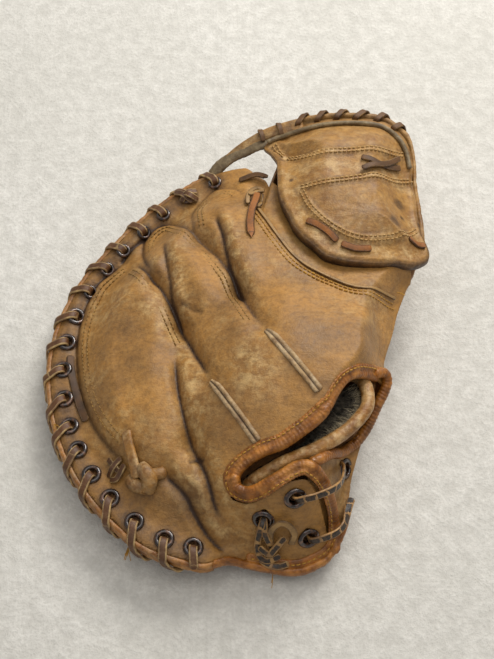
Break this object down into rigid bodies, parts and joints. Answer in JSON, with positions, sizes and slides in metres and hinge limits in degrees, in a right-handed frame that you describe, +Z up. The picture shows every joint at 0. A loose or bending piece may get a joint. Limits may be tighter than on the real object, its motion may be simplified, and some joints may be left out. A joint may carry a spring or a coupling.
{
  "type": "catcher's mitt",
  "caption": "Worn leather catcher's mitt lying palm down, with a laced rim, thumb flap, open hand hollow and tied wrist strap.",
  "frame": {"origin": "on the floor, under the middle of the mitt's bounding box, at rest with its back up", "axes": "+X from the little-finger side to the wrist side, +Y from the wrist strap to the thumb's laced rim, +Z up"},
  "size_m": [0.2346, 0.289, 0.0832],
  "materials": {
    "back_leather": "worn, scuffed and dusty",
    "thumb_leather": "pale worn leather, dirty at its edge",
    "palm_leather": "plain worn leather",
    "binding_leather": "rolled orange-brown leather, satin",
    "roll_leather": "rubbed tan leather",
    "brown_lace": "rawhide lace, satin",
    "orange_lace": "rawhide lace, satin",
    "black_lace": "cracked dark rawhide lace",
    "olive_piping": "grey-olive leather piping",
    "fleece": "matted grimy fleece",
    "eyelet_metal": "worn dark brown enamel"
  },
  "bodies": {
    "root": {"back_shell": "back_leather", "back_welt_1": "roll_leather", "back_welt_2": "roll_leather", "thumb_seam_welt": "olive_piping", "palm_pad": "palm_leather", "finger_rim_welt": "binding_leather", "thumb_rim_welt": "binding_leather", "strap_edge_binding": "binding_leather", "thumb_flap": "thumb_leather", "thumb_piping": "olive_piping", "thumb_lace_1": "orange_lace", "thumb_lace_2": "orange_lace", "thumb_lace_3": "orange_lace", "thumb_cross_lace": "brown_lace", "strap_wing": "back_leather", "wing_binding": "binding_leather", "opening_binding": "binding_leather", "tongue_binding": "binding_leather", "cuff_roll": "roll_leather", "fleece_lining": "fleece", "strap_lace_upper": "black_lace", "strap_lace_lower": "black_lace", "strap_knot": "black_lace", "finger_rim_lace": "brown_lace", "thumb_rim_lace": "brown_lace", "web_strip": "olive_piping", "web_tip_lace": "brown_lace", "tail_lace": "orange_lace", "corner_knot": "roll_leather", "rim_eyelet_1": "eyelet_metal", "rim_eyelet_2": "eyelet_metal", "rim_eyelet_3": "eyelet_metal", "rim_eyelet_4": "eyelet_metal", "rim_eyelet_5": "eyelet_metal", "rim_eyelet_6": "eyelet_metal", "rim_eyelet_7": "eyelet_metal", "rim_eyelet_8": "eyelet_metal", "rim_eyelet_9": "eyelet_metal", "rim_eyelet_10": "eyelet_metal", "rim_eyelet_11": "eyelet_metal", "rim_eyelet_12": "eyelet_metal", "rim_eyelet_13": "eyelet_metal", "rim_eyelet_14": "eyelet_metal", "rim_eyelet_15": "eyelet_metal", "rim_eyelet_16": "eyelet_metal", "rim_eyelet_17": "eyelet_metal", "rim_eyelet_18": "eyelet_metal", "strap_eyelet_1": "eyelet_metal", "strap_eyelet_2": "eyelet_metal", "strap_eyelet_3": "eyelet_metal", "strap_eyelet_4": "eyelet_metal"}
  },
  "joints": []
}
